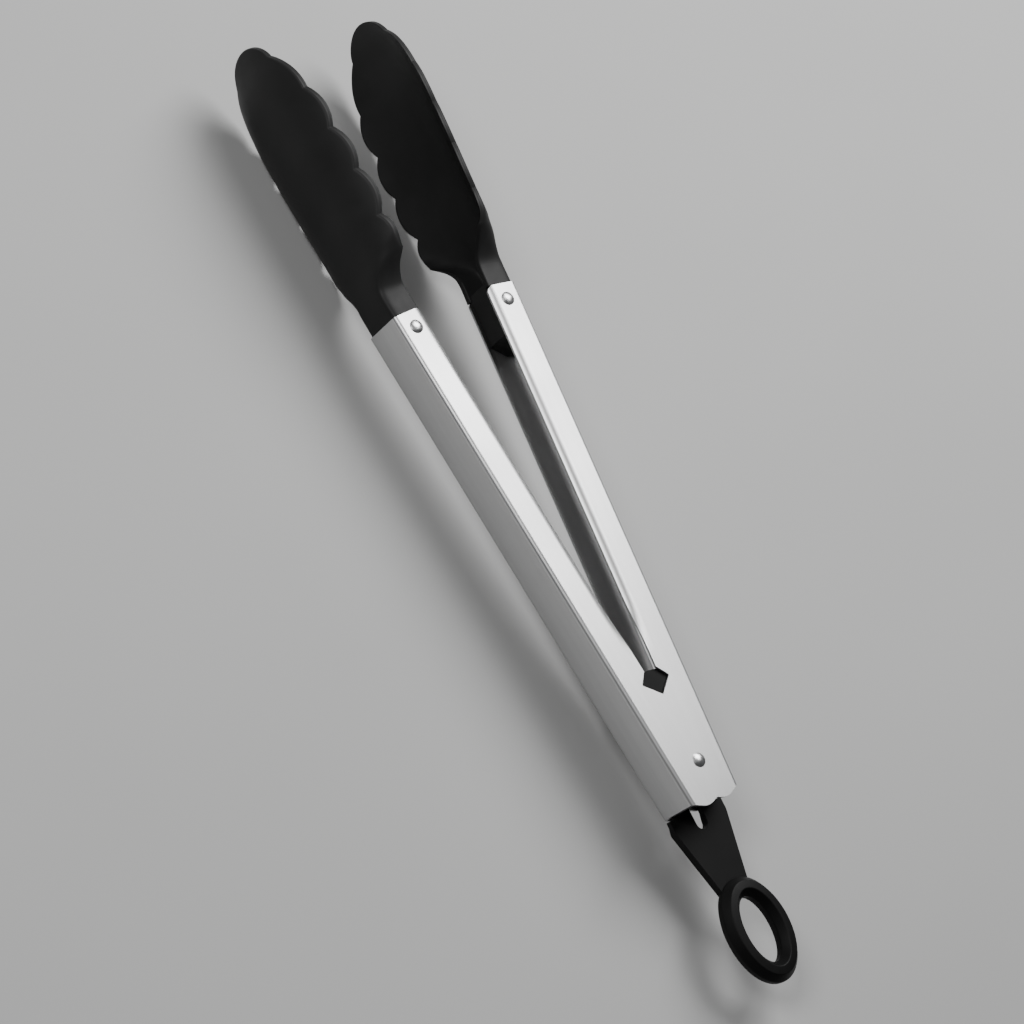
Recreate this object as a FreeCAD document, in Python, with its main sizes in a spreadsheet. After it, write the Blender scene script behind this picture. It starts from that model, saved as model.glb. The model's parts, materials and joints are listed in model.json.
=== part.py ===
import FreeCAD, Part
import Sketcher
import math
import os

# Spring-loaded kitchen tongs, lying on their side and held open by their spring.
#
# Row frame: X runs along the tongs, with the tips towards +X and the pull loop
# towards -X, Y is the way the arms open, and Z is up, along the hinge pin.
# Each arm is drawn in an arm frame whose origin is the hinge: x along the arm,
# y outwards from the free edges to the spine, and z along the hinge pin.

os.makedirs("parts", exist_ok=True)
doc = FreeCAD.newDocument("tongs")

# ------------------------------------------------------------ driving dimensions
SIZES = [
    ("pin_x", -104.72, "hinge pin, along the row frame"),
    ("pin_z", 22.45, "middle of the tongs above their lowest point"),
    ("half_opening", 5.0, "each arm's angle from the middle, degrees"),
    ("sheet_gauge", 0.9, "stainless sheet"),
    ("outer_width", 18.0, "outer arm across its flanges"),
    ("nest_gap", 0.15, "between nested flanges"),
    ("spine_y", 12.6, "outside of the spine from the hinge line"),
    ("free_y", 0.3, "flange's free edge from the hinge line"),
    ("bend_radius", 1.8, "outside of the folds"),
    ("arm_reach", 180.0, "hinge to the end that holds the head"),
    ("spine_tail", 11.4, "spine beyond the hinge"),
    ("lobe_tail", 14.4, "flange's lobe beyond the hinge"),
    ("lobe_drop", 7.1, "lobe's corner below the hinge line"),
    ("lobe_radius", 11.6, "lobe's round corner"),
    ("shoulder_y", 7.0, "where the lobe's end starts to slope to the spine"),
    ("shoulder_radius", 6.0, "round between the lobe's end and that slope"),
    ("flange_corner", 2.2, "flange's round corner at the head"),
    ("notch_x", 30.9, "lock notch from the hinge"),
    ("notch_apex_y", 4.1, "top of the lock notch"),
    ("notch_half", 3.8, "half of the notch's mouth"),
    ("notch_foot_x", 24.6, "where the notch meets the lobe's lower edge"),
    ("notch_foot_drop", 2.1, "the same point below the hinge line"),
    ("notch_radius", 0.5, "round at the top of the notch"),
    ("pin_radius", 1.6, "shank of the hinge pin"),
    ("rivet_radius", 1.5, "shank of a head rivet"),
    ("running_fit", 0.05, "radial clearance of a pin in its hole"),
    ("dome_radius", 2.5, "domed ends of the pin and the rivets"),
    ("dome_rise", 0.9, "height of the domes"),
    ("dome_edge", 0.15, "upright edge round a dome"),
    ("dome_seat", 0.02, "dome to the flange"),
    ("sleeve_radius", 2.3, "outside of the spacer sleeve"),
    ("sleeve_play", 0.2, "sleeve's end play in the inner channel"),
    ("rivet_x", 174.0, "head rivet from the hinge"),
    ("rivet_y", 6.3, "head rivet, halfway down the flange"),
    ("tang_start", 158.0, "inner end of the head's tang"),
    ("tang_floor_y", 1.7, "open face of the tang"),
    ("tang_gap", 0.1, "tang to the channel, each side"),
    ("tang_wall", 2.0, "end wall of the tang beyond the arm"),
    ("neck_start", 180.1, "neck's first section, just beyond the arm"),
    ("neck_inset", 0.35, "neck's side inside the channel's side"),
    ("head_wall", 2.4, "wall of the moulded head"),
    ("head_tip", 288.6, "tip of the head from the hinge"),
    ("tab_top_z", -4.8, "pull tab's upper face from the middle"),
    ("plate_thick", 2.0, "pull tab inside the channel"),
    ("handle_thick", 3.2, "pull tab outside the channel"),
    ("handle_half", 12.35, "half of the pull tab's greatest width"),
    ("handle_start", 15.4, "thick part of the tab, beyond the hinge"),
    ("handle_corner", 18.0, "where the handle starts to taper"),
    ("handle_round", 9.0, "round of that corner"),
    ("handle_neck_x", 43.5, "handle's end in the loop"),
    ("handle_neck_half", 6.0, "half of the handle's end"),
    ("shoulder_x", 13.5, "tab's shoulder beyond the hinge"),
    ("plate_half", 10.0, "half of the tab inside the channel"),
    ("plate_taper_x", 6.0, "where the plate starts to narrow"),
    ("slot_half", 2.45, "half of the pull tab's slot"),
    ("slot_out", 20.9, "slot's outer end beyond the hinge"),
    ("slot_in", 10.6, "slot's inner end from the hinge"),
    ("loop_x", 59.0, "middle of the loop beyond the hinge"),
    ("loop_long", 19.1, "loop's outer half-length"),
    ("loop_wide", 13.4, "loop's outer half-width"),
    ("loop_band", 7.2, "loop's band"),
    ("loop_thick", 6.0, "loop across the pin's direction"),
    ("loop_round", 2.5, "round of the loop's edges"),
    ("loop_z", -3.8, "middle of the loop from the tongs' middle"),
    ("block_near", 21.0, "lock block's end by the spring"),
    ("block_corner", 33.4, "lock block's far corners"),
    ("block_far", 34.6, "lock block's nose by the notches"),
    ("block_half", 8.0, "half of the lock block's width"),
    ("wire_radius", 0.75, "spring wire"),
    ("wire_gap", 0.1, "spring leg to the spine"),
    ("coil_radius", 4.0, "middle of the wire in the coil"),
    ("coil_low_z", -3.6, "wire's middle at the coil's lower end"),
    ("coil_pitch", 1.65, "one turn of the coil"),
    ("coil_turns", 5.0, "whole turns of the coil"),
    ("leg_reach", 24.0, "spring leg's end along the arm"),
]

sheet = doc.addObject("Spreadsheet::Sheet", "dims")
for row, (alias, size, note) in enumerate(SIZES, start=1):
    sheet.set("A%d" % row, str(size))
    sheet.setAlias("A%d" % row, alias)
    sheet.set("B%d" % row, note)
doc.recompute()
CELLS = {alias: float(sheet.get(alias)) for alias, _, _ in SIZES}


def val(alias):
    """The number that a named cell of the sheet holds."""
    return CELLS[alias]


def number(expression):
    """What an expression over the sheet's names comes to."""
    text = expression
    for alias in sorted(CELLS, key=len, reverse=True):
        text = text.replace("dims." + alias, "(%r)" % CELLS[alias])
    return FreeCAD.Units.Quantity(text).Value


OUTER_WIDTH = "dims.outer_width"
INNER_WIDTH = "(dims.outer_width - 2 * dims.sheet_gauge - 2 * dims.nest_gap)"
SPINE_INSIDE = "(dims.spine_y - dims.sheet_gauge)"
HOLE_FIT = " + dims.running_fit"


# ----------------------------------------------------------------------- helpers
def new_body(label):
    body = doc.addObject("PartDesign::Body", label)
    body.Label = label
    return body


def new_sketch(body, name, role="XY_Plane", height=None):
    """An empty sketch on one of the body's planes, raised by an expression."""
    sketch = body.newObject("Sketcher::SketchObject", name)
    plane = [f for f in body.Origin.OriginFeatures if f.Role == role][0]
    sketch.AttachmentSupport = [(plane, "")]
    sketch.MapMode = "FlatFace"
    if height is not None:
        sketch.setExpression("AttachmentOffset.Base.z", height)
    return sketch


def bind(sketch, kind, where, expression):
    """A driving constraint whose value is an expression over the sheet's names."""
    index = sketch.addConstraint(Sketcher.Constraint(kind, *where, number(expression)))
    sketch.setExpression("Constraints[%d]" % index, expression)


def add_polygon(sketch, corners):
    """A closed outline whose corners are pairs of expressions."""
    points = [FreeCAD.Vector(number(a), number(b), 0) for a, b in corners]
    count = len(points)
    for i in range(count):
        line = Part.LineSegment(points[i], points[(i + 1) % count])
        sketch.addGeometry(line, False)
    for i in range(count):
        joined = Sketcher.Constraint("Coincident", i, 2, (i + 1) % count, 1)
        sketch.addConstraint(joined)
    for i, (a, b) in enumerate(corners):
        bind(sketch, "DistanceX", (i, 1), a)
        bind(sketch, "DistanceY", (i, 1), b)


def add_circle(sketch, x, y, radius):
    """A circle whose centre and radius are expressions."""
    centre = FreeCAD.Vector(number(x), number(y), 0)
    circle = Part.Circle(centre, FreeCAD.Vector(0, 0, 1), number(radius))
    geo = sketch.addGeometry(circle, False)
    bind(sketch, "DistanceX", (geo, 3), x)
    bind(sketch, "DistanceY", (geo, 3), y)
    bind(sketch, "Radius", (geo,), radius)


def pad(body, sketch, name, length, midplane=False):
    feature = body.newObject("PartDesign::Pad", name)
    feature.Profile = sketch
    feature.Midplane = midplane
    feature.setExpression("Length", length)
    doc.recompute()
    return feature


def pocket(body, sketch, name, length):
    """A cut that reaches equally far on both sides of the sketch."""
    before = body.Shape.Volume
    feature = body.newObject("PartDesign::Pocket", name)
    feature.Profile = sketch
    feature.Midplane = True
    feature.setExpression("Length", length)
    doc.recompute()
    if body.Shape.Volume >= before:
        raise RuntimeError(name + " cuts nothing")
    return feature


def fillet(body, base, name, radius, wanted):
    """Round the edges of base that wanted(edge) picks."""
    picked = [i + 1 for i, edge in enumerate(base.Shape.Edges) if wanted(edge)]
    if not picked:
        raise RuntimeError(name + " finds no edge")
    feature = body.newObject("PartDesign::Fillet", name)
    feature.Base = (base, ["Edge%d" % i for i in picked])
    feature.setExpression("Radius", radius)
    doc.recompute()
    return feature


def upright_at(x, y):
    """A test for the edges along z at the point that two expressions give."""
    place = FreeCAD.Vector(number(x), number(y), 0)

    def wanted(edge):
        box = edge.BoundBox
        foot = FreeCAD.Vector(box.XMin, box.YMin, 0)
        narrow = box.XLength < 0.01 and box.YLength < 0.01
        return narrow and foot.distanceToPoint(place) < 0.05

    return wanted


def along_arm_at(y):
    """A test for the arm's long straight edges at one height."""
    height = number(y)

    def wanted(edge):
        box = edge.BoundBox
        flat = abs(box.YMin - height) < 0.01 and abs(box.YMax - height) < 0.01
        return flat and box.XLength > val("arm_reach") / 2 and box.ZLength < 0.01

    return wanted


def at_hinge(piece):
    """Put a piece that is drawn round the hinge in its place."""
    piece.setExpression("Placement.Base.x", "dims.pin_x")
    piece.setExpression("Placement.Base.z", "dims.pin_z")
    return piece


def on_arm(piece, outer, x=0.0, y=0.0):
    """Put a piece drawn at (x, y) of an arm's frame in its place.

    The outer arm opens towards +Y. The inner arm is the same rolled over, so
    it opens towards -Y.
    """
    z_axis = FreeCAD.Vector(0, 0, 1)
    x_axis = FreeCAD.Vector(1, 0, 0)
    swing = val("half_opening") if outer else -val("half_opening")
    roll = 0 if outer else 180
    turn = FreeCAD.Rotation(z_axis, swing) * FreeCAD.Rotation(x_axis, roll)
    hinge = FreeCAD.Vector(val("pin_x"), 0, val("pin_z"))
    offset = turn.multVec(FreeCAD.Vector(x, y, 0))
    piece.Placement = FreeCAD.Placement(hinge + offset, turn)
    piece.setExpression("Placement.Base.x", "dims.pin_x + (%r)" % offset.x)
    piece.setExpression("Placement.Base.z", "dims.pin_z")
    return piece


# -------------------------------------------------------------------------- arms
def make_arm(label, width, outer):
    """A folded sheet channel with a lobed hinge end and a lock notch."""
    body = new_body(label)
    side = new_sketch(body, label + "_side")
    add_polygon(side, [
        ("-dims.spine_tail", "dims.spine_y"),
        ("-dims.lobe_tail", "dims.shoulder_y"),
        ("-dims.lobe_tail", "-dims.lobe_drop"),
        ("dims.notch_foot_x", "-dims.notch_foot_drop"),
        ("dims.notch_x", "dims.notch_apex_y"),
        ("dims.notch_x + dims.notch_half", "dims.free_y"),
        ("dims.arm_reach", "dims.free_y"),
        ("dims.arm_reach", "dims.spine_y"),
    ])
    shape = pad(body, side, label + "_blank", width, midplane=True)
    corners = [
        ("lobe", "dims.lobe_radius", "-dims.lobe_tail", "-dims.lobe_drop"),
        ("shoulder", "dims.shoulder_radius", "-dims.lobe_tail", "dims.shoulder_y"),
        ("corner", "dims.flange_corner", "dims.arm_reach", "dims.free_y"),
        ("notch", "dims.notch_radius", "dims.notch_x", "dims.notch_apex_y"),
    ]
    for name, radius, x, y in corners:
        shape = fillet(body, shape, label + "_" + name, radius, upright_at(x, y))
    fillet(body, shape, label + "_folds", "dims.bend_radius", along_arm_at("dims.spine_y"))

    channel = new_sketch(body, label + "_channel")
    low = "-dims.lobe_tail - dims.lobe_drop"
    past = "dims.arm_reach + dims.lobe_tail"
    add_polygon(channel, [(low, low), (past, low), (past, SPINE_INSIDE), (low, SPINE_INSIDE)])
    hollow = pocket(body, channel, label + "_hollow", width + " - 2 * dims.sheet_gauge")
    fillet(
        body, hollow, label + "_inner_folds", "dims.bend_radius - dims.sheet_gauge",
        along_arm_at(SPINE_INSIDE),
    )
    holes = new_sketch(body, label + "_holes")
    add_circle(holes, "0", "0", "dims.pin_radius" + HOLE_FIT)
    add_circle(holes, "dims.rivet_x", "dims.rivet_y", "dims.rivet_radius" + HOLE_FIT)
    body.Tip = pocket(body, holes, label + "_drilled", width + " + dims.sheet_gauge")
    return on_arm(body, outer)


# ------------------------------------------------------------------------- heads
# Cusps between the scallops: distance from the hinge and half-width there.
CUSPS = [(212.2, 19.5), (229.6, 20.6), (246.4, 20.3), (263.0, 19.3), (280.2, 11.8)]
SCALLOP_START = (199.4, 18.0)
SCALLOP_RISE = 2.0
FLARE_CLEAR = (195.0, 26.0)

# Sections of the moulded shell: distance from the hinge, half-width before the
# scallops are cut (None is the neck's), back's height, rim's height, how square
# the section's shoulders are, how steeply they fall and how much of the wall
# stands at the side.
SHELL = [
    ("neck_start", None, 12.25, 0.9, 9.0, 9.0, 1.0),
    (188.0, None, 12.2, 1.0, 8.0, 8.0, 1.0),
    (191.0, 9.4, 12.0, 1.0, 6.0, 5.5, 1.0),
    (194.5, 12.2, 11.6, 0.7, 4.5, 3.2, 0.8),
    (199.4, 18.1, 10.9, -0.2, 3.1, 1.6, 0.3),
    (204.0, 21.8, 10.5, -1.0, 2.8, 1.1, 0.1),
    (209.0, 22.8, 10.3, -1.5, 2.6, 1.0, 0.1),
    (216.0, 23.2, 10.2, -1.8, 2.5, 1.0, 0.1),
    (230.0, 23.4, 9.8, -1.9, 2.5, 1.0, 0.1),
    (247.0, 23.2, 9.0, -1.9, 2.5, 1.0, 0.1),
    (262.0, 22.2, 7.7, -1.9, 2.5, 1.0, 0.1),
    (274.0, 19.2, 6.2, -1.7, 2.5, 1.0, 0.1),
    (283.0, 15.0, 3.7, -1.3, 2.5, 1.0, 0.1),
    (291.0, 12.6, 1.7, -1.0, 2.5, 1.0, 0.1),
]
SECTION_POINTS = 17
# The rim's outer corner stands this far above the wall's own height.
RIM_STEP = 0.05


def section_curve(x, half, low, high, square, steep):
    """Points of a square-shouldered arch across the head."""
    points = []
    for i in range(SECTION_POINTS):
        angle = math.pi * (i / (SECTION_POINTS - 1) - 0.5)
        across = math.copysign(abs(math.sin(angle)) ** (2.0 / square), angle)
        rise = max(math.cos(angle), 0.0) ** (2.0 / steep)
        points.append(FreeCAD.Vector(x, low + (high - low) * rise, half * across))
    return points


def shell_section(x, half, back, rim, square, steep, side):
    """A closed wire across the head: its back, its inside and its two rims."""
    wall = val("head_wall")
    edge = rim + wall * (1.0 - side) + RIM_STEP
    outer = section_curve(x, half, edge, back, square, steep)
    inner = section_curve(x, half - wall * side, rim, back - wall, square, steep)
    curves = []
    for points in (outer, inner[::-1]):
        spline = Part.BSplineCurve()
        spline.interpolate(points)
        curves.append(spline.toShape())
    far = [outer[-1], FreeCAD.Vector(x, rim, half), inner[-1]]
    near = [inner[0], FreeCAD.Vector(x, rim, -half), outer[0]]
    far_rim = [Part.LineSegment(a, b).toShape() for a, b in zip(far, far[1:])]
    near_rim = [Part.LineSegment(a, b).toShape() for a, b in zip(near, near[1:])]
    return Part.Wire([curves[0]] + far_rim + [curves[1]] + near_rim)


def plan_point(x, z):
    """A point of the head's plan, under the head."""
    return FreeCAD.Vector(x, -val("spine_y"), z)


def half_plan(side):
    """One side of the head's plan, clear of the neck and cut to the scallops."""
    behind = val("tang_start") - val("head_wall")
    straight = [(behind, FLARE_CLEAR[1]), FLARE_CLEAR, SCALLOP_START]
    edges = []
    for (xa, za), (xb, zb) in zip(straight, straight[1:]):
        line = Part.LineSegment(plan_point(xa, side * za), plan_point(xb, side * zb))
        edges.append(line.toShape())
    stations = [SCALLOP_START] + CUSPS
    for (xa, za), (xb, zb) in zip(stations, stations[1:]):
        rise = SCALLOP_RISE / math.hypot(xb - xa, zb - za)
        top_x = (xa + xb) / 2 - rise * (zb - za)
        top_z = (za + zb) / 2 + rise * (xb - xa)
        start = plan_point(xa, side * za)
        top = plan_point(top_x, side * top_z)
        end = plan_point(xb, side * zb)
        edges.append(Part.Arc(start, top, end).toShape())
    return edges


def head_plan():
    """The head's outline seen from its back: neck, scallops and round tip."""
    behind = val("tang_start") - val("head_wall")
    cusp_x, cusp_half = CUSPS[-1]
    tip = Part.Arc(
        plan_point(cusp_x, cusp_half), plan_point(val("head_tip"), 0), plan_point(cusp_x, -cusp_half)
    )
    end = Part.LineSegment(plan_point(behind, FLARE_CLEAR[1]), plan_point(behind, -FLARE_CLEAR[1]))
    edges = half_plan(1) + half_plan(-1)
    edges += [tip.toShape(), end.toShape()]
    return Part.Face(Part.Wire(Part.__sortEdges__(edges)))


def make_box(name, x, y, z, length, height, width):
    """A block whose place and size are expressions."""
    box = doc.addObject("Part::Box", name)
    for way, expression in (("x", x), ("y", y), ("z", z)):
        box.setExpression("Placement.Base." + way, expression)
    box.setExpression("Length", length)
    box.setExpression("Width", height)
    box.setExpression("Height", width)
    return box


def make_head(label, width, outer):
    """A moulded spoon with scalloped rims, an open neck and a solid tang."""
    side_half = "(%s / 2 - dims.neck_inset)" % width
    tang_half = "(%s / 2 - dims.sheet_gauge - dims.tang_gap)" % width
    neck_half = number(side_half)
    sections = []
    for i, (x, half, *rest) in enumerate(SHELL):
        distance = val(x) if x == "neck_start" else x
        section = doc.addObject("Part::Feature", "%s_section_%d" % (label, i + 1))
        section.Shape = shell_section(distance, half or neck_half, *rest)
        sections.append(section)
    loft = doc.addObject("Part::Loft", label + "_loft")
    loft.Sections = sections
    loft.Solid = True
    loft.Ruled = False

    plan = doc.addObject("Part::Feature", label + "_plan")
    plan.Shape = head_plan()
    cutter = doc.addObject("Part::Extrusion", label + "_cutter")
    cutter.Base = plan
    cutter.DirMode = "Custom"
    cutter.Dir = FreeCAD.Vector(0, 1, 0)
    cutter.Solid = True
    cutter.setExpression("LengthFwd", "3 * dims.spine_y")
    spoon = doc.addObject("Part::Common", label + "_spoon")
    spoon.Base = loft
    spoon.Tool = cutter

    tang_top = "(%s - dims.tang_gap)" % SPINE_INSIDE
    block = make_box(
        label + "_tang_block", "dims.tang_start", "dims.tang_floor_y", "-" + tang_half,
        "dims.neck_start + 0.2 - dims.tang_start", tang_top + " - dims.tang_floor_y",
        "2 * " + tang_half,
    )
    doc.recompute()
    tang = doc.addObject("Part::Fillet", label + "_tang")
    tang.Base = block
    top = number(tang_top)
    radius = val("bend_radius") - val("sheet_gauge")
    tang.Edges = [
        (i + 1, radius, radius)
        for i, edge in enumerate(block.Shape.Edges)
        if edge.BoundBox.XLength > 1 and abs(edge.BoundBox.YMax - top) < 0.01
    ]
    inside_half = "(%s - dims.head_wall / 2)" % side_half
    end_wall = make_box(
        label + "_end_wall", "dims.neck_start", "dims.tang_floor_y", "-" + inside_half,
        "dims.tang_wall", tang_top + " - dims.head_wall / 2 - dims.tang_floor_y",
        "2 * " + inside_half,
    )
    joined = doc.addObject("Part::MultiFuse", label + "_joined")
    joined.Shapes = [spoon, tang, end_wall]
    hole = doc.addObject("Part::Cylinder", label + "_rivet_hole")
    hole.setExpression("Radius", "dims.rivet_radius" + HOLE_FIT)
    hole.setExpression("Height", "2 * " + width)
    hole.setExpression("Placement.Base.x", "dims.rivet_x")
    hole.setExpression("Placement.Base.y", "dims.rivet_y")
    hole.setExpression("Placement.Base.z", "-" + width)
    head = doc.addObject("Part::Cut", label)
    head.Label = label
    head.Base = joined
    head.Tool = hole
    doc.recompute()
    return on_arm(head, outer)


# --------------------------------------------------------------- pins and sleeve
def make_pin(label, radius, width):
    """A shank with a domed head at each end, turned in one piece."""
    body = new_body(label)
    sketch = new_sketch(body, label + "_profile", "XZ_Plane")
    shank = number(radius)
    seat = number(width) / 2 + val("dome_seat")
    edge = seat + val("dome_edge")
    top = seat + val("dome_rise")
    wide = val("dome_radius")
    sphere = (wide ** 2 + (top - edge) ** 2) / (2 * (top - edge))
    middle_r = wide / 2
    middle_z = top - sphere + math.sqrt(sphere ** 2 - middle_r ** 2)

    def at(r, z):
        return FreeCAD.Vector(r, z, 0)

    outline = [
        Part.LineSegment(at(0, -top), at(0, top)),
        Part.Arc(at(0, top), at(middle_r, middle_z), at(wide, edge)),
        Part.LineSegment(at(wide, edge), at(wide, seat)),
        Part.LineSegment(at(wide, seat), at(shank, seat)),
        Part.LineSegment(at(shank, seat), at(shank, -seat)),
        Part.LineSegment(at(shank, -seat), at(wide, -seat)),
        Part.LineSegment(at(wide, -seat), at(wide, -edge)),
        Part.Arc(at(wide, -edge), at(middle_r, -middle_z), at(0, -top)),
    ]
    sketch.addGeometry(outline, False)
    turned = body.newObject("PartDesign::Revolution", label + "_turned")
    turned.Profile = sketch
    turned.ReferenceAxis = (sketch, ["V_Axis"])
    turned.Angle = 360
    doc.recompute()
    body.Tip = turned
    return body


def make_head_rivet(label, width, outer):
    """The rivet that holds a head in its arm."""
    rivet = make_pin(label, "dims.rivet_radius", width)
    return on_arm(rivet, outer, val("rivet_x"), val("rivet_y"))


def make_sleeve():
    """The spacer tube that keeps the channel's walls apart round the pin."""
    body = new_body("spacer_sleeve")
    ring = new_sketch(body, "sleeve_ring")
    add_circle(ring, "0", "0", "dims.sleeve_radius")
    add_circle(ring, "0", "0", "dims.pin_radius" + HOLE_FIT)
    length = INNER_WIDTH + " - 2 * dims.sheet_gauge - dims.sleeve_play"
    body.Tip = pad(body, ring, "sleeve_tube", length, midplane=True)
    return at_hinge(body)


# ---------------------------------------------------------------------- pull tab
def mirrored_outline(half):
    """A closed outline from its +Y side, given as pairs of expressions."""
    other = [(x, "-(%s)" % y) for x, y in reversed(half) if y != "0"]
    return half + other


def make_pull_tab():
    """One moulding: loop, tapered handle, slotted plate and lock block."""
    body = new_body("pull_tab")
    ring = new_sketch(body, "loop_ring", height="dims.loop_z")
    centre = FreeCAD.Vector(-val("loop_x"), 0, 0)
    for inset in (0.0, val("loop_band")):
        oval = Part.Ellipse(centre, val("loop_long") - inset, val("loop_wide") - inset)
        ring.addGeometry(oval, False)
    loop = pad(body, ring, "loop", "dims.loop_thick", midplane=True)
    fillet(body, loop, "loop_edges", "dims.loop_round", lambda e: e.BoundBox.ZLength < 0.01)

    handle = new_sketch(body, "handle_outline", height="dims.tab_top_z - dims.handle_thick")
    add_polygon(handle, mirrored_outline([
        ("-dims.handle_start", "dims.handle_half"),
        ("-dims.handle_corner", "dims.handle_half"),
        ("-dims.handle_neck_x", "dims.handle_neck_half"),
    ]))
    grip = pad(body, handle, "handle", "dims.handle_thick")
    corners = [
        upright_at("-dims.handle_corner", sign + "dims.handle_half") for sign in ("", "-")
    ]
    fillet(
        body, grip, "handle_corners", "dims.handle_round",
        lambda e: any(corner(e) for corner in corners),
    )

    plate_z = "dims.tab_top_z - dims.plate_thick"
    plate = new_sketch(body, "plate_outline", height=plate_z)
    add_polygon(plate, mirrored_outline([
        ("-dims.handle_start - 1", "dims.handle_half"),
        ("-dims.shoulder_x", "dims.handle_half"),
        ("-dims.shoulder_x", "dims.plate_half"),
        ("-dims.plate_taper_x", "dims.plate_half"),
        ("0", "dims.block_half"),
        ("dims.block_corner", "dims.block_half"),
        ("dims.block_far", "0"),
    ]))
    pad(body, plate, "slide_plate", "dims.plate_thick")

    block = new_sketch(body, "block_outline", height=plate_z)
    add_polygon(block, mirrored_outline([
        ("dims.block_near", "dims.block_half"),
        ("dims.block_corner", "dims.block_half"),
        ("dims.block_far", "0"),
    ]))
    pad(body, block, "lock_block", "2 * (dims.plate_thick - dims.tab_top_z)")

    slot = new_sketch(body, "slot_outline", height=plate_z)
    half = val("slot_half")
    out = val("slot_out")
    deep = val("slot_in")

    def at(x, y):
        return FreeCAD.Vector(x, y, 0)

    slot.addGeometry([
        Part.LineSegment(at(half - out, half), at(deep - half, half)),
        Part.Arc(at(deep - half, half), at(deep, 0), at(deep - half, -half)),
        Part.LineSegment(at(deep - half, -half), at(half - out, -half)),
        Part.Arc(at(half - out, -half), at(-out, 0), at(half - out, half)),
    ], False)
    body.Tip = pocket(body, slot, "slot", "4 * dims.handle_thick")
    return at_hinge(body)


# ------------------------------------------------------------------------ spring
def make_spring():
    """A torsion spring: a coil round the sleeve and a leg along each spine."""
    radius = val("coil_radius")
    wire = val("wire_radius")
    opening = math.radians(val("half_opening"))
    leg_y = number(SPINE_INSIDE) - wire - val("wire_gap")
    end_x = val("leg_reach") * math.cos(opening) - leg_y * math.sin(opening)
    end_y = val("leg_reach") * math.sin(opening) + leg_y * math.cos(opening)
    distance = math.hypot(end_x, end_y)
    leg_length = math.sqrt(distance ** 2 - radius ** 2)
    lean = math.atan2(end_y, end_x) - math.atan2(radius, leg_length)
    touch = math.pi / 2 + lean
    turns = val("coil_turns") + 1.0 - touch / math.pi

    helix = doc.addObject("Part::Helix", "coil_path")
    helix.setExpression("Pitch", "dims.coil_pitch")
    helix.Height = val("coil_pitch") * turns
    helix.setExpression("Radius", "dims.coil_radius")
    helix.LocalCoord = "Left-handed"
    helix.Style = "New style"
    start_turn = FreeCAD.Rotation(FreeCAD.Vector(0, 0, 1), -math.degrees(touch))
    helix.Placement = FreeCAD.Placement(FreeCAD.Vector(0, 0, val("coil_low_z")), start_turn)
    doc.recompute()
    first = helix.Shape.Edges[0]
    last = helix.Shape.Edges[-1]
    low = first.valueAt(first.FirstParameter)
    high = last.valueAt(last.LastParameter)
    low_way = first.tangentAt(first.FirstParameter)
    high_way = last.tangentAt(last.LastParameter)
    low_leg = FreeCAD.Vector(-low_way.x, -low_way.y, 0)
    high_leg = FreeCAD.Vector(high_way.x, high_way.y, 0)

    def along(place, way):
        turn = FreeCAD.Rotation(FreeCAD.Vector(0, 0, 1), way)
        return FreeCAD.Placement(place, turn)

    section = doc.addObject("Part::Circle", "wire_section")
    section.setExpression("Radius", "dims.wire_radius")
    section.Placement = along(low, low_way)
    coil = doc.addObject("Part::Sweep", "coil")
    coil.Sections = [section]
    coil.Spine = (helix, ["Edge%d" % (i + 1) for i in range(len(helix.Shape.Edges))])
    coil.Solid = True
    coil.Frenet = True
    legs = []
    for name, place, way in (("lower_leg", low, low_leg), ("upper_leg", high, high_leg)):
        leg = doc.addObject("Part::Cylinder", name)
        leg.setExpression("Radius", "dims.wire_radius")
        leg.Height = leg_length
        leg.Placement = along(place, way)
        legs.append(leg)
    spring = doc.addObject("Part::MultiFuse", "torsion_spring")
    spring.Label = "torsion_spring"
    spring.Shapes = [coil] + legs
    return at_hinge(spring)


# ---------------------------------------------------------------------- assembly
pieces = [
    make_arm("outer_arm", OUTER_WIDTH, outer=True),
    make_arm("inner_arm", INNER_WIDTH, outer=False),
    make_head("outer_head", OUTER_WIDTH, outer=True),
    make_head("inner_head", INNER_WIDTH, outer=False),
    make_head_rivet("outer_head_rivet", OUTER_WIDTH, outer=True),
    make_head_rivet("inner_head_rivet", INNER_WIDTH, outer=False),
    at_hinge(make_pin("hinge_pin", "dims.pin_radius", OUTER_WIDTH)),
    make_sleeve(),
    make_pull_tab(),
    make_spring(),
]
doc.recompute()

for thing in doc.Objects:
    if "Invalid" in thing.State or "Error" in thing.State:
        raise RuntimeError("failed object: %s %s" % (thing.Name, thing.State))
for piece in pieces:
    if piece.Shape.isNull() or not piece.Shape.isValid():
        raise RuntimeError("bad shape: " + piece.Label)

box = FreeCAD.BoundBox()
for piece in pieces:
    piece.Shape.exportStep("parts/" + piece.Label + ".step")
    box.add(piece.Shape.optimalBoundingBox())
    solids = len(piece.Shape.Solids)
    print("%-18s %d solid, %8.1f mm3" % (piece.Label, solids, piece.Shape.Volume))
print("X %.2f..%.2f  Y %.2f..%.2f" % (box.XMin, box.XMax, box.YMin, box.YMax))
print("Z %.2f..%.2f" % (box.ZMin, box.ZMax))
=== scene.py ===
import json
import math

import bmesh
import bpy
from mathutils import Matrix, Vector


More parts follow.
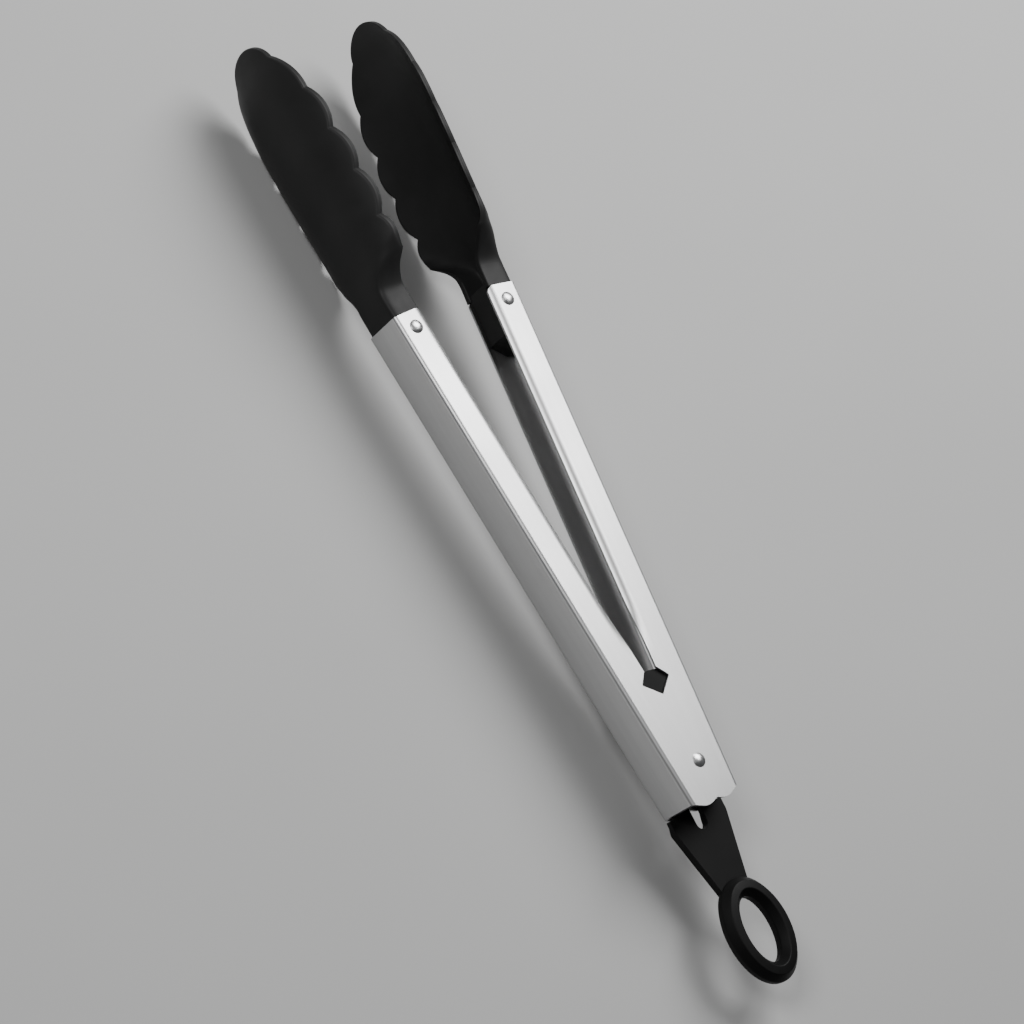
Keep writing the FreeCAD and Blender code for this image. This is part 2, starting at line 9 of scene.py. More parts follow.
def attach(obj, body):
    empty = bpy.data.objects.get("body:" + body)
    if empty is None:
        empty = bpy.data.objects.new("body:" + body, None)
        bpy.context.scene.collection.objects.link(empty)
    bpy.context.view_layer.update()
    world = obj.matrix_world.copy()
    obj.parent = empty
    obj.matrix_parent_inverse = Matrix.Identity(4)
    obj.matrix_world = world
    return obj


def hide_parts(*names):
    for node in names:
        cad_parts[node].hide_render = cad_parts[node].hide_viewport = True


# Spring-loaded kitchen tongs. Sizes are millimetres in an arm's own frame: x from
# the hinge towards the tips, y out from the middle to the arm's spine, z along
# the hinge pin. The outer arm opens towards +Y, the inner arm towards -Y.
MM = 0.001

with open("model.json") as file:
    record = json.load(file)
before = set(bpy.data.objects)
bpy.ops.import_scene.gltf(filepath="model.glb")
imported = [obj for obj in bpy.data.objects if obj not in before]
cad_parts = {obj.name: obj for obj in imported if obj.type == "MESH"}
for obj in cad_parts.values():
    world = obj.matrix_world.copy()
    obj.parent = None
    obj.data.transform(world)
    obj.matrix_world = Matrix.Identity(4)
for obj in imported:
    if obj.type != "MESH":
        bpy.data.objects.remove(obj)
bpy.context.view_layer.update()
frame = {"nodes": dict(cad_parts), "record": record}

record = frame["record"]
HINGE = Vector(record["behaviour"]["joints"][0]["pos_m"])
SPINE_AXIS = [m for m in record["mounts"] if m["name"] == "outer_spine_face"][0]["axis"]
HALF_OPENING = math.atan2(-SPINE_AXIS[0], SPINE_AXIS[1])


def arm_matrix(outer):
    """From an arm's frame, in millimetres, to the row frame, in metres."""
    swing = HALF_OPENING if outer else -HALF_OPENING
    turn = Matrix.Rotation(swing, 4, "Z")
    if not outer:
        turn = turn @ Matrix.Rotation(math.pi, 4, "X")
    return Matrix.Translation(HINGE) @ turn @ Matrix.Scale(MM, 4)


HINGE_MATRIX = Matrix.Translation(HINGE) @ Matrix.Scale(MM, 4)


# ---------------------------------------------------------------------- camera
def make_camera():
    """The camera looks down on the tongs from beside the outer arm."""
    right = Vector((-0.45790, -0.73082, 0.50615))
    up = Vector((0.87776, -0.28153, 0.38761))
    back = Vector((-0.14077, 0.62178, 0.77043))
    place = HINGE + Vector((-38.1, 617.5, 745.5)) * MM
    data = bpy.data.cameras.new("camera")
    data.sensor_width = 36.0
    data.lens = 100.65
    data.shift_x = -0.0042
    data.shift_y = 0.0136
    data.clip_start = 0.01
    camera = bpy.data.objects.new("camera", data)
    turn = Matrix((right, up, back)).transposed().to_4x4()
    camera.matrix_world = Matrix.Translation(place) @ turn
    bpy.context.scene.collection.objects.link(camera)
    bpy.context.scene.camera = camera


make_camera()


# ----------------------------------------------------------------- small tools
def smoothstep(low, high, value):
    """0 below low, 1 above high and an S between them."""
    t = min(max((value - low) / (high - low), 0.0), 1.0)
    return t * t * (3.0 - 2.0 * t)


def table_curve(rows, column):
    """A smooth curve through one column of a table whose first column is x."""
    xs = [row[0] for row in rows]
    ys = [row[column] for row in rows]
    slopes = []
    for i in range(len(xs)):
        a = max(i - 1, 0)
        b = min(i + 1, len(xs) - 1)
        slopes.append((ys[b] - ys[a]) / (xs[b] - xs[a]))

    def curve(x):
        x = min(max(x, xs[0]), xs[-1])
        i = 0
        while i < len(xs) - 2 and x > xs[i + 1]:
            i += 1
        width = xs[i + 1] - xs[i]
        t = (x - xs[i]) / width
        start = (2 * t ** 3 - 3 * t ** 2 + 1) * ys[i] + (t ** 3 - 2 * t ** 2 + t) * width * slopes[i]
        end = (3 * t ** 2 - 2 * t ** 3) * ys[i + 1] + (t ** 3 - t ** 2) * width * slopes[i + 1]
        return start + end

    return curve


def mesh_object(name, points, faces, matrix, sharp_angle=35.0):
    """A smooth-shaded object from points in millimetres."""
    mesh = bpy.data.meshes.new(name)
    mesh.from_pydata([matrix @ Vector(p) for p in points], [], faces)
    mesh.validate()
    piece = bpy.data.objects.new(name, mesh)
    bpy.context.scene.collection.objects.link(piece)
    tidy_mesh(piece, sharp_angle)
    return piece


def tidy_mesh(piece, sharp_angle, merge=0.000002):
    """Join doubled points, face every face outwards and shade it smooth."""
    work = bmesh.new()
    work.from_mesh(piece.data)
    bmesh.ops.remove_doubles(work, verts=work.verts, dist=merge)
    bmesh.ops.dissolve_degenerate(work, edges=work.edges, dist=merge / 4)
    bmesh.ops.recalc_face_normals(work, faces=work.faces)
    work.to_mesh(piece.data)
    work.free()
    for polygon in piece.data.polygons:
        polygon.use_smooth = True
    piece.data.set_sharp_from_angle(angle=math.radians(sharp_angle))


def apply_modifiers(piece):
    """Replace the mesh by what its modifiers make of it."""
    bpy.context.view_layer.update()
    graph = bpy.context.evaluated_depsgraph_get()
    mesh = bpy.data.meshes.new_from_object(piece.evaluated_get(graph))
    piece.modifiers.clear()
    piece.data = mesh


def finish_piece(piece, body, material, node):
    """Give a piece its material and its body, and hide the CAD node that it stands for."""
    piece.data.materials.clear()
    piece.data.materials.append(material)
    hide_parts(node)
    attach(piece, body)


# ------------------------------------------------------------------- materials
class Nodes:
    """A material's node tree, with short calls for what the materials share."""

    def __init__(self, name):
        self.material = bpy.data.materials.new(name)
        self.material.use_nodes = True
        self.tree = self.material.node_tree
        self.shader = self.tree.nodes["Principled BSDF"]

    def add(self, kind, **inputs):
        node = self.tree.nodes.new(kind)
        for key, value in inputs.items():
            node.inputs[key.replace("_", " ")].default_value = value
        return node

    def link(self, source, target):
        self.tree.links.new(source, target)

    def noise(self, scale, detail, stretch=(1, 1, 1), turn=0.0):
        """Noise over the row frame, stretched along the arm that turn gives."""
        place = self.add("ShaderNodeTexCoord")
        swing = self.add("ShaderNodeMapping")
        swing.inputs["Rotation"].default_value = (0, 0, -turn)
        shape = self.add("ShaderNodeMapping")
        shape.inputs["Scale"].default_value = stretch
        self.link(place.outputs["Object"], swing.inputs["Vector"])
        self.link(swing.outputs["Vector"], shape.inputs["Vector"])
        noise = self.add("ShaderNodeTexNoise", Scale=scale, Detail=detail)
        self.link(shape.outputs["Vector"], noise.inputs["Vector"])
        return noise.outputs["Fac"]

    def remap(self, source, low, high):
        """A noise's usual span, spread from low to high."""
        node = self.add("ShaderNodeMapRange")
        node.inputs["From Min"].default_value = 0.3
        node.inputs["From Max"].default_value = 0.7
        node.inputs["To Min"].default_value = low
        node.inputs["To Max"].default_value = high
        self.link(source, node.inputs["Value"])
        return node.outputs["Result"]

    def blend(self, source, dark, light):
        """A colour between two, by a value."""
        node = self.add("ShaderNodeMix")
        node.data_type = "RGBA"
        ends = [socket for socket in node.inputs if socket.type == "RGBA"]
        for socket, colour in zip(ends, (dark, light)):
            socket.default_value = (*colour, 1)
        self.link(self.remap(source, 0.0, 1.0), node.inputs["Factor"])
        return [s for s in node.outputs if s.type == "RGBA"][0]

    def bump(self, height, strength, distance, before=None):
        """A fine relief, laid over the one before."""
        node = self.add("ShaderNodeBump", Strength=strength, Distance=distance)
        self.link(height, node.inputs["Height"])
        if before is not None:
            self.link(before, node.inputs["Normal"])
        return node.outputs["Normal"]


def brushed_steel(name, turn):
    """Satin stainless sheet, brushed along the arm."""
    nodes = Nodes(name)
    streaks = nodes.noise(1.0, 4.0, (45.0, 2600.0, 2600.0), turn)
    drawn = nodes.noise(1.0, 2.0, (14.0, 420.0, 420.0), turn)
    clouds = nodes.noise(28.0, 2.0)
    colour = nodes.blend(drawn, (0.60, 0.60, 0.60), (0.63, 0.63, 0.63))
    nodes.link(colour, nodes.shader.inputs["Base Color"])
    nodes.link(nodes.remap(clouds, 0.36, 0.42), nodes.shader.inputs["Roughness"])
    fine = nodes.bump(streaks, 0.12, 0.00004)
    nodes.link(nodes.bump(drawn, 0.03, 0.00006, fine), nodes.shader.inputs["Normal"])
    nodes.shader.inputs["Metallic"].default_value = 1.0
    return nodes.material


def bright_steel(name, roughness, colour):
    """Turned or drawn steel: the pins, the rivets and the spring."""
    nodes = Nodes(name)
    marks = nodes.noise(900.0, 3.0)
    light = tuple(min(c * 1.08, 1.0) for c in colour)
    nodes.link(nodes.blend(marks, colour, light), nodes.shader.inputs["Base Color"])
    rough = nodes.remap(marks, roughness * 0.85, roughness * 1.2)
    nodes.link(rough, nodes.shader.inputs["Roughness"])
    nodes.link(nodes.bump(marks, 0.05, 0.00003), nodes.shader.inputs["Normal"])
    nodes.shader.inputs["Metallic"].default_value = 1.0
    return nodes.material


def black_plastic(name, dark, light, low, high, shine):
    """Moulded nylon: nearly black, satin, with a fine moulded grain."""
    nodes = Nodes(name)
    grain = nodes.noise(2600.0, 3.0)
    clouds = nodes.noise(60.0, 3.0)
    flow = nodes.noise(240.0, 2.0)
    nodes.link(nodes.blend(clouds, (dark,) * 3, (light,) * 3), nodes.shader.inputs["Base Color"])
    nodes.link(nodes.remap(flow, low, high), nodes.shader.inputs["Roughness"])
    skin = nodes.bump(grain, 0.12, 0.00003)
    nodes.link(nodes.bump(flow, 0.05, 0.0001, skin), nodes.shader.inputs["Normal"])
    nodes.shader.inputs["Specular IOR Level"].default_value = shine
    return nodes.material


outer_steel = brushed_steel("brushed_stainless_outer", HALF_OPENING)
inner_steel = brushed_steel("brushed_stainless_inner", -HALF_OPENING)
pin_steel = bright_steel("polished_pin_steel", 0.3, (0.66, 0.66, 0.66))
spring_steel = bright_steel("drawn_spring_wire", 0.34, (0.42, 0.42, 0.42))
head_plastic = black_plastic("black_nylon_head", 0.018, 0.023, 0.44, 0.50, 0.14)
tab_plastic = black_plastic("black_nylon_tab", 0.005, 0.007, 0.44, 0.52, 0.12)

# ----------------------------------------------------------------------- heads
# Distance from the hinge, half-width before the scallops are cut, back's height,
# rim's height, how square the section's shoulders are, how steeply they fall and
# how much of the wall stands at the side.
SHELL = [
    (180.1, 8.65, 12.25, 0.9, 9.0, 9.0, 1.0),
    (188.0, 8.65, 12.2, 1.0, 8.0, 8.0, 1.0),
    (191.0, 9.4, 12.0, 1.0, 6.0, 5.5, 1.0),
    (194.5, 12.2, 11.6, 0.7, 4.5, 3.2, 0.8),
    (199.4, 18.1, 10.9, -0.2, 3.1, 1.6, 0.3),
    (204.0, 21.8, 10.5, -1.0, 2.8, 1.1, 0.1),
    (209.0, 22.8, 10.3, -1.5, 2.6, 1.0, 0.0),
    (216.0, 23.2, 10.2, -1.8, 2.5, 1.0, 0.0),
    (230.0, 23.4, 9.8, -1.9, 2.5, 1.0, 0.0),
    (247.0, 23.2, 9.0, -1.9, 2.5, 1.0, 0.0),
    (262.0, 22.2, 7.7, -1.9, 2.5, 1.0, 0.0),
    (274.0, 19.2, 6.2, -1.7, 2.5, 1.0, 0.0),
    (283.0, 15.0, 3.7, -1.3, 2.5, 1.0, 0.0),
    (291.0, 12.6, 1.7, -1.0, 2.5, 1.0, 0.0),
]
HEAD_WALL = 2.4
# Cusps between the scallops: distance from the hinge and half-width there.
CUSPS = [(199.4, 18.1), (212.2, 19.5), (229.6, 20.6), (246.4, 20.3), (263.0, 19.3), (280.2, 11.8)]
SCALLOP_RISE = 2.0
HEAD_TIP = 288.6
EDGE_ROUND = 0.5
NECK_HALF = {True: 8.65, False: 7.6}
FLARE_START = 188.0


def arc_through(a, b, rise):
    """Centre and radius of the arc from a to b that bulges outwards by rise."""
    (xa, za), (xb, zb) = a, b
    chord = math.hypot(xb - xa, zb - za)
    radius = (chord ** 2 / 4 + rise ** 2) / (2 * rise)
    inward = radius - rise
    middle = ((xa + xb) / 2, (za + zb) / 2)
    out = (-(zb - za) / chord, (xb - xa) / chord)
    return (middle[0] - out[0] * inward, middle[1] - out[1] * inward), radius


SCALLOPS = [(a, b, *arc_through(a, b, SCALLOP_RISE)) for a, b in zip(CUSPS, CUSPS[1:])]
TIP_RADIUS = (CUSPS[-1][1] ** 2 + (HEAD_TIP - CUSPS[-1][0]) ** 2) / (2 * (HEAD_TIP - CUSPS[-1][0]))
TIP_CENTRE = (HEAD_TIP - TIP_RADIUS, 0.0)


def outline_half(x):
    """The scallops' half-width seen from the back; nothing is cut before them."""
    if x <= CUSPS[0][0]:
        return math.inf
    for (xa, _), (xb, _), centre, radius in SCALLOPS:
        if x <= xb:
            return centre[1] + math.sqrt(max(radius ** 2 - (x - centre[0]) ** 2, 0.0))
    return math.sqrt(max(TIP_RADIUS ** 2 - (x - TIP_CENTRE[0]) ** 2, 0.0))


def edge_distance(x, z, cut):
    """How far a point of the head's plan is inside its outline."""
    z = abs(z)
    if x <= CUSPS[0][0] or (x < CUSPS[1][0] and cut - z > 2.0):
        return max(cut - z, 0.0)
    near = [math.hypot(x - cx, z - cz) for cx, cz in CUSPS[1:]]
    centre, radius = TIP_CENTRE, TIP_RADIUS
    for (xa, _), (xb, _), middle, arc in SCALLOPS:
        if x <= xb:
            centre, radius = middle, arc
            break
    arc_gap = radius - math.hypot(x - centre[0], z - centre[1])
    return max(min([arc_gap] + near), 0.0)


def head_stations():
    """Distances from the hinge at which the head's section is drawn."""
    stations = [SHELL[0][0] + i * 0.9 for i in range(10)]
    steps = 24
    stations += [FLARE_START + (CUSPS[0][0] - FLARE_START) * i / steps for i in range(steps)]
    lobe_steps = 26
    for (xa, _), (xb, _) in zip(CUSPS, CUSPS[1:]):
        for i in range(lobe_steps):
            share = 0.5 - 0.5 * math.cos(math.pi * i / lobe_steps)
            stations.append(xa + (xb - xa) * (0.5 * share + 0.5 * i / lobe_steps))
    tip_steps = 40
    start = math.acos((CUSPS[-1][0] - TIP_CENTRE[0]) / TIP_RADIUS)
    for i in range(tip_steps + 1):
        stations.append(TIP_CENTRE[0] + TIP_RADIUS * math.cos(start * (1 - i / tip_steps)))
    return stations


# Along a section: distances from its cut edge that are drawn, how many points lie
# between those and the middle, and how finely the curve is measured.
EDGE_SAMPLES = [0.0, 0.02, 0.06, 0.12, 0.2, 0.3, 0.4, 0.55, 0.8, 1.2, 1.8]
ACROSS = 26
DENSE = 140


def half_arch(half, cut, low, high, square, steep):
    """Points (z, y, distance from the end) from the middle to the cut edge."""
    share = min(cut / half, 1.0)
    last = math.asin(min(share ** (square / 2.0), 1.0))
    dense = []
    length = 0.0
    for i in range(DENSE + 1):
        angle = last * math.sin(math.pi / 2 * i / DENSE)
        z = half * math.sin(angle) ** (2.0 / square)
        y = low + (high - low) * max(math.cos(angle), 0.0) ** (2.0 / steep)
        if dense:
            length += math.hypot(z - dense[-1][0], y - dense[-1][1])
        dense.append((z, y, length))
    edge = [s * min(1.0, length / 8.0) for s in EDGE_SAMPLES]
    inner_length = length - edge[-1]
    wanted = [inner_length * i / ACROSS for i in range(ACROSS)]
    wanted += [length - s for s in reversed(edge)]
    points = []
    i = 0
    for target in wanted:
        while i < DENSE - 1 and dense[i + 1][2] < target:
            i += 1
        (za, ya, sa), (zb, yb, sb) = dense[i], dense[i + 1]
        t = 0.0 if sb - sa < 1e-9 else min(max((target - sa) / (sb - sa), 0.0), 1.0)
        points.append((za + (zb - za) * t, ya + (yb - ya) * t, length - target))
    return points


def rounding(distance):
    """How far a rounded edge falls away at a distance from the sharp one."""
    if distance >= EDGE_ROUND:
        return 0.0
    return EDGE_ROUND - math.sqrt(EDGE_ROUND ** 2 - (EDGE_ROUND - distance) ** 2)


def head_ring(x, curves, outer_arm):
    """One closed section of the head as points (x, y, z), always the same count."""
    half, back, rim, square, steep, side = (curve(x) for curve in curves)
    neck_half = NECK_HALF[outer_arm]
    neck = 1.0 - smoothstep(186.0, 198.0, x)
    if not outer_arm:
        half -= (NECK_HALF[True] - neck_half) * neck
    cut = min(outline_half(x), half)
    stand = HEAD_WALL * side
    low = rim + HEAD_WALL * (1.0 - side)
    outer = half_arch(half, cut, low, back, square, steep)
    inner = half_arch(half - stand, max(cut - stand, 0.0), rim, back - HEAD_WALL, square, steep)
    corner, foot = outer[-1], inner[-1]
    way = Vector((foot[0] - corner[0], foot[1] - corner[1]))
    gap = way.length
    way = way / gap if gap > 1e-6 else Vector((0.0, -1.0))

    def rounded(points, direction):
        result = []
        for z, y, along in points:
            plan = edge_distance(x, z, cut)
            fall = rounding(plan + (along - plan) * neck)
            result.append((z + direction[0] * fall, y + direction[1] * fall))
        return result

    top = rounded(outer, way)
    under = rounded(inner, -way)
    start, end = Vector(top[-1]), Vector(under[-1])
    strip = []
    across = Vector((-way[1], way[0]))
    for share, proud in ((0.3, 0.0), (0.44, 0.0), (0.5, 0.05), (0.56, 0.0), (0.7, 0.0)):
        strip.append(tuple(start.lerp(end, share) + across * proud * (1 if cut > 1 else 0)))
    near = top + strip + under[::-1]
    ring = [(x, y, z) for z, y in near]
    far = [(x, y, -z) for z, y in reversed(near[1:-1])]
    return ring + far, len(top), len(strip)


# The drawn head is slightly smaller than the table, to stay inside the solid's box.
HEAD_TRIM = (1.0, 0.997, 0.9975)


def head_mesh(outer_arm):
    """Points and faces of the moulded spoon and its neck."""
    curves = [table_curve(SHELL, column) for column in range(1, 7)]
    points = []
    faces = []
    count = 0
    stations = head_stations()
    for number, x in enumerate(stations):
        ring, top, strip = head_ring(x, curves, outer_arm)
        count = len(ring)
        points += [tuple(c * f for c, f in zip(point, HEAD_TRIM)) for point in ring]
        if number:
            a = (number - 1) * count
            b = number * count
            for i in range(count):
                j = (i + 1) % count
                faces.append((a + i, a + j, b + j, b + i))
    half_count = count // 2
    for i in range(top - 1):
        last = half_count
        faces.append((i, i + 1, last - i - 1, last - i))
        a, b = (count - i) % count, (count - i - 1) % count
        faces.append((b, a, last + i, last + i + 1))
    return points, faces


def rounded_block(points, faces, corners, low_z, high_z, bevel):
    """Add an upright prism over (x, y) corners, chamfered all round, to a mesh."""
    start = len(points)
    count = len(corners)
    cx = sum(c[0] for c in corners) / count
    cy = sum(c[1] for c in corners) / count

    def inset(corner, amount):
        x, y = corner
        return (x - math.copysign(amount, x - cx), y - math.copysign(amount, y - cy))

    layers = [(low_z, bevel), (low_z + bevel, 0.0), (high_z - bevel, 0.0), (high_z, bevel)]
    for z, amount in layers:
        for corner in corners:
            x, y = inset(corner, amount)
            points.append((x, y, z))
    for layer in range(3):
        for i in range(count):
            j = (i + 1) % count
            a = start + layer * count
            b = a + count
            faces.append((a + i, a + j, b + j, b + i))
    faces.append(tuple(start + i for i in reversed(range(count))))
    faces.append(tuple(start + 3 * count + i for i in range(count)))


TANG_HALF = {True: 8.0, False: 6.95}


def make_head(name, outer_arm, body, node):
    """A moulded head: the spoon, its neck and the tang inside the arm."""
    points, faces = head_mesh(outer_arm)
    side = TANG_HALF[outer_arm]
    tang = [(158.0, 11.5), (158.0, 7.5), (162.5, 1.7), (181.9, 1.7), (181.9, 11.5)]
    rounded_block(points, faces, tang, -side, side, 0.5)
    piece = mesh_object(name, points, faces, arm_matrix(outer_arm), 40.0)
    finish_piece(piece, body, head_plastic, node)


make_head("outer_spoon_head", True, "outer_side", "outer_head")
make_head("inner_spoon_head", False, "inner_side", "inner_head")


# ------------------------------------------------------------------------ arms
# The flanges' free edges: where they are, how wide and how round the curl is, and
# the stretch of arm over which it begins.
FREE_EDGE = 0.3
ROLL_WIDTH = 3.0
ROLL_RADIUS = 4.2
ROLL_START = (40.0, 62.0)


def roll_free_edges(work, half_inside):
    """Curl the flanges' free edges gently inwards, clear of the nested lobes."""
    cuts = [((0, FREE_EDGE + d, 0), (0, 1, 0)) for d in (0.35, 0.8, 1.3, 1.8, 2.4, ROLL_WIDTH)]
    cuts += [((ROLL_START[0] + i * 4.4, 0, 0), (1, 0, 0)) for i in range(6)]
    for place, normal in cuts:
        everything = work.verts[:] + work.edges[:] + work.faces[:]
        bmesh.ops.bisect_plane(work, geom=everything, dist=0.001, plane_co=place, plane_no=normal)
    for vertex in work.verts:
        x, y, z = vertex.co
        depth = FREE_EDGE + ROLL_WIDTH - y
        if depth <= 0 or abs(z) < half_inside - 0.3:
            continue
        curl = ROLL_RADIUS - math.sqrt(max(ROLL_RADIUS ** 2 - depth ** 2, 0.0))
        vertex.co.z -= math.copysign(curl * smoothstep(*ROLL_START, x), z)


def make_arm(name, body, node, material, outer, half_inside):
    """The folded channel with curled free edges and its sheared edges broken."""
    place = arm_matrix(outer)
    source = frame["nodes"][node]
    piece = bpy.data.objects.new(name, source.data.copy())
    bpy.context.scene.collection.objects.link(piece)
    work = bmesh.new()
    work.from_mesh(piece.data)
    bmesh.ops.transform(work, matrix=place.inverted() @ source.matrix_world, verts=work.verts)
    bmesh.ops.remove_doubles(work, verts=work.verts, dist=0.005)
    bmesh.ops.dissolve_limit(
        work, angle_limit=math.radians(0.6), verts=work.verts, edges=work.edges
    )
    roll_free_edges(work, half_inside)
    bmesh.ops.transform(work, matrix=place, verts=work.verts)
    work.to_mesh(piece.data)
    work.free()
    bevel = piece.modifiers.new("broken_edges", "BEVEL")
    bevel.width = 0.00014
    bevel.segments = 2
    bevel.limit_method = "ANGLE"
    bevel.angle_limit = math.radians(40)
    apply_modifiers(piece)
    tidy_mesh(piece, 30.0)
    normals = piece.modifiers.new("flat_sheet", "WEIGHTED_NORMAL")
    normals.keep_sharp = True
    apply_modifiers(piece)
    finish_piece(piece, body, material, node)


make_arm("outer_channel_arm", "outer_side", "outer_arm", outer_steel, True, 8.1)
make_arm("inner_channel_arm", "inner_side", "inner_arm", inner_steel, False, 7.05)

# -------------------------------------------------------------------- pull tab
def round_corners(corners, steps=6):
    """A closed outline of (x, y, radius) corners as points, with its corners rounded."""
    points = []
    count = len(corners)
    for i, (x, y, radius) in enumerate(corners):
        here = Vector((x, y))
        before = (Vector(corners[i - 1][:2]) - here).normalized()
        after = (Vector(corners[(i + 1) % count][:2]) - here).normalized()
        half = before.angle(after) / 2
        if radius <= 0 or half > math.radians(89):
            points.append((x, y))
            continue
        centre = here + (before + after).normalized() * (radius / math.sin(half))
        start = here + before * (radius / math.tan(half)) - centre
        end = here + after * (radius / math.tan(half)) - centre
        sweep = start.angle(end)
        for step in range(steps + 1):
            share = step / steps
            way = (start * math.sin((1 - share) * sweep) + end * math.sin(share * sweep)) / math.sin(sweep)
            points.append(tuple(centre + way))
    return points


def prism(name, outline, low, high, matrix):
    """An upright block over a closed outline, in millimetres."""
    count = len(outline)
    points = [(x, y, low) for x, y in outline] + [(x, y, high) for x, y in outline]
    faces = [tuple(reversed(range(count))), tuple(range(count, 2 * count))]
    for i in range(count):
        j = (i + 1) % count
        faces.append((i, j, count + j, count + i))
    return mesh_object(name, points, faces, matrix)


def combine(piece, tool, operation):
    """Add a solid to a piece, or cut it away, and drop the tool."""
    change = piece.modifiers.new("change", "BOOLEAN")
    change.operation = operation
    change.solver = "EXACT"
    change.object = tool
    apply_modifiers(piece)
    bpy.data.objects.remove(tool)


LOOP_CENTRE = -59.0
LOOP_LONG = 19.1
LOOP_WIDE = 13.4
LOOP_Z = -3.8
TAB_TOP = -4.8
# The loop's section: inwards from its outside, height above its middle, round.
LOOP_SECTION = [
    (0.0, -3.0, 1.1), (7.2, -3.0, 1.1), (7.2, 0.3, 1.0),
    (5.0, 3.0, 0.6), (2.1, 2.6, 0.6), (0.0, -0.2, 1.0),
]
LOOP_STEPS = 180


def loop_mesh():
    """The finger loop: an oval ring with a flat crown between two soft ridges."""
    section = round_corners(LOOP_SECTION)
    points = []
    faces = []
    count = len(section)
    for step in range(LOOP_STEPS):
        angle = 2 * math.pi * step / LOOP_STEPS
        for inset, rise in section:
            x = LOOP_CENTRE + (LOOP_LONG - inset) * math.cos(angle)
            y = (LOOP_WIDE - inset) * math.sin(angle)
            points.append((x, y, LOOP_Z + rise))
    for step in range(LOOP_STEPS):
        a = step * count
        b = ((step + 1) % LOOP_STEPS) * count
        for i in range(count):
            j = (i + 1) % count
            faces.append((a + i, a + j, b + j, b + i))
    return points, faces


def mirror_outline(half):
    """Close an outline given as corners on its +Y side, from the tail to the nose."""
    return half + [(x, -y, radius) for x, y, radius in reversed(half) if y > 0]


def make_pull_tab():
    handle = mirror_outline([(-47.0, 5.2, 0), (-43.5, 6.0, 3.0), (-18.0, 12.3, 9.0), (-13.6, 12.3, 0.6)])
    plate = mirror_outline([
        (-17.0, 10.0, 0), (-9.0, 10.0, 2.0),
        (0.0, 8.0, 4.0), (33.4, 8.0, 0.5), (34.6, 0.0, 0),
    ])
    block = mirror_outline([(21.0, 8.0, 0.5), (33.4, 8.0, 0.5), (34.6, 0.0, 0)])
    slot = [(-20.9, -2.45, 2.4), (10.6, -2.45, 2.4), (10.6, 2.45, 2.4), (-20.9, 2.45, 2.4)]
    heel = [(-18.6, -9.0), (-12.0, -9.0), (-12.0, -6.9), (-15.4, -6.9), (-18.6, -8.1)]
    tab = prism("pull_tab_body", round_corners(handle), TAB_TOP - 3.2, TAB_TOP, HINGE_MATRIX)
    parts = (
        (plate, TAB_TOP - 2.0, TAB_TOP, "UNION"),
        (block, -6.8, 6.8, "UNION"),
        (slot, -12.0, 0.0, "DIFFERENCE"),
    )
    for outline, low, high, operation in parts:
        tool = prism("tool", round_corners(outline), low, high, HINGE_MATRIX)
        combine(tab, tool, operation)
    on_side = HINGE_MATRIX @ Matrix.Rotation(math.radians(90), 4, "X")
    combine(tab, prism("tool", heel, -14.0, 14.0, on_side), "DIFFERENCE")
    bevel = tab.modifiers.new("moulded_edges", "BEVEL")
    bevel.width = 0.00045
    bevel.segments = 3
    bevel.limit_method = "ANGLE"
    bevel.angle_limit = math.radians(40)
    apply_modifiers(tab)
    tidy_mesh(tab, 30.0)
    normals = tab.modifiers.new("flat_plate", "WEIGHTED_NORMAL")
    normals.keep_sharp = True
    apply_modifiers(tab)
    finish_piece(tab, "slider", tab_plastic, "pull_tab")
    points, faces = loop_mesh()
    loop = mesh_object("pull_loop", points, faces, HINGE_MATRIX, 60.0)
    finish_piece(loop, "slider", tab_plastic, "pull_tab")


make_pull_tab()

for node in ("hinge_pin", "outer_head_rivet", "inner_head_rivet", "spacer_sleeve"):
    frame["nodes"][node].material_slots[0].material = pin_steel


# Where the spring's legs end, ahead of the pin.
LEG_END = 17.8


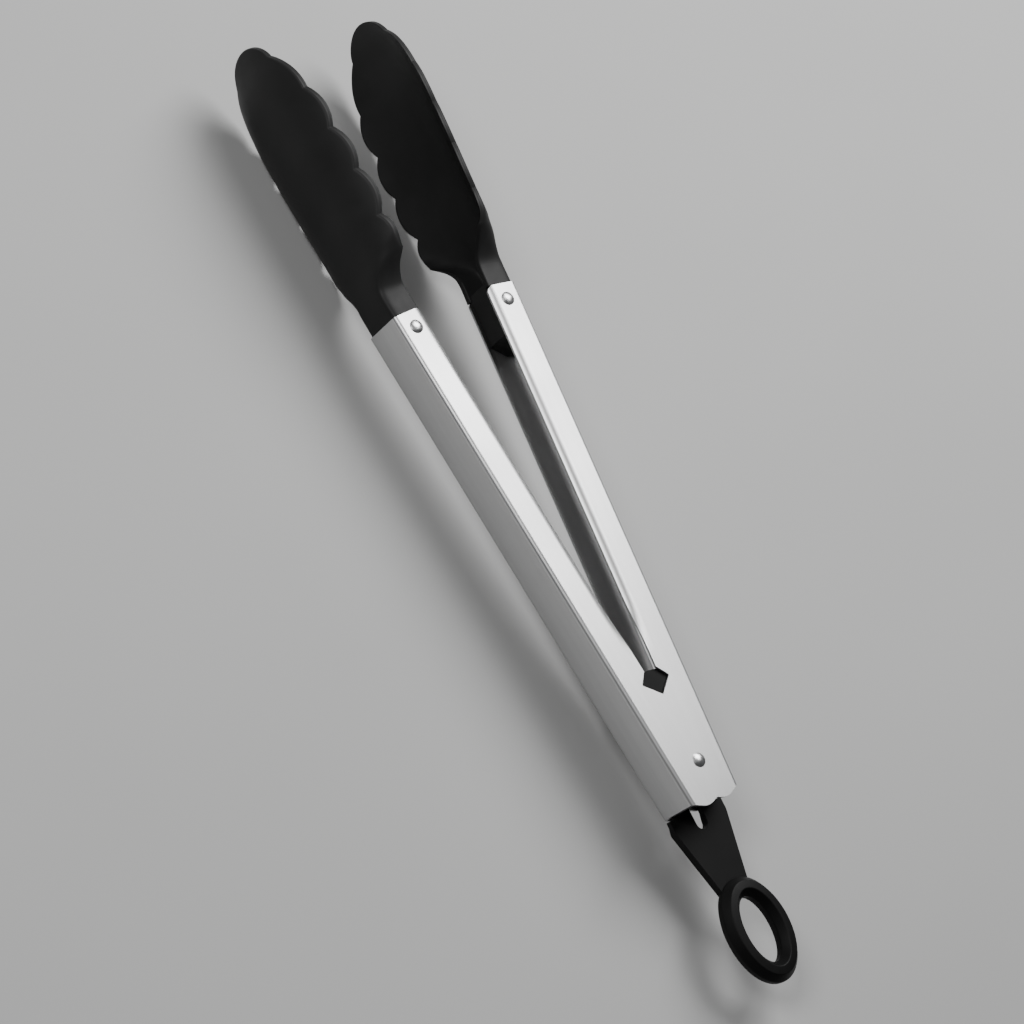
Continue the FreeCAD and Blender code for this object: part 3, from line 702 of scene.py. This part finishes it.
def make_spring():
    """The torsion spring, its legs cut short enough to clear the closed arms."""
    source = frame["nodes"]["torsion_spring"]
    piece = bpy.data.objects.new("wound_spring", source.data.copy())
    bpy.context.scene.collection.objects.link(piece)
    work = bmesh.new()
    work.from_mesh(piece.data)
    bmesh.ops.transform(work, matrix=source.matrix_world, verts=work.verts)
    bmesh.ops.remove_doubles(work, verts=work.verts, dist=0.000002)
    everything = work.verts[:] + work.edges[:] + work.faces[:]
    end = HINGE_MATRIX @ Vector((LEG_END, 0.0, 0.0))
    bmesh.ops.bisect_plane(
        work, geom=everything, dist=0.0000001, plane_co=end, plane_no=(1, 0, 0), clear_outer=True
    )
    bmesh.ops.holes_fill(work, edges=[edge for edge in work.edges if edge.is_boundary])
    work.to_mesh(piece.data)
    work.free()
    tidy_mesh(piece, 35.0)
    finish_piece(piece, "hinge", spring_steel, "torsion_spring")


make_spring()


# -------------------------------------------------------------- floor and light
def make_floor():
    """A plain pale floor, three metres square."""
    points = [(-1500, -1500, 0), (1500, -1500, 0), (1500, 1500, 0), (-1500, 1500, 0)]
    matrix = Matrix.Scale(MM, 4)
    floor = mesh_object("floor", points, [(0, 1, 2, 3)], matrix)
    nodes = Nodes("pale_floor")
    tone = nodes.blend(nodes.noise(6.0, 2.0), (0.44, 0.44, 0.437), (0.46, 0.46, 0.457))
    nodes.link(tone, nodes.shader.inputs["Base Color"])
    nodes.shader.inputs["Roughness"].default_value = 0.75
    floor.data.materials.append(nodes.material)


LIT_PLACE = Vector((0.0, 0.0, 0.02))


def softbox(name, direction, distance, size, power):
    """A square area light that faces the tongs."""
    data = bpy.data.lights.new(name, "AREA")
    data.shape = "RECTANGLE"
    data.size, data.size_y = size
    data.energy = power
    light = bpy.data.objects.new(name, data)
    way = Vector(direction).normalized()
    light.location = LIT_PLACE + way * distance
    light.rotation_euler = way.to_track_quat("Z", "Y").to_euler()
    bpy.context.scene.collection.objects.link(light)


def make_lights():
    """A large key, a smaller fill from the camera's side and a faint sky."""
    softbox("key_softbox", (0.40, -0.50, 0.77), 1.0, (0.7, 0.7), 14.0)
    softbox("fill_softbox", (0.30, 0.60, 0.74), 1.2, (0.35, 0.35), 6.0)
    world = bpy.data.worlds.new("studio")
    world.use_nodes = True
    world.node_tree.nodes["Background"].inputs["Color"].default_value = (0.94, 0.96, 1.0, 1)
    world.node_tree.nodes["Background"].inputs["Strength"].default_value = 0.06
    bpy.context.scene.world = world


make_floor()
make_lights()
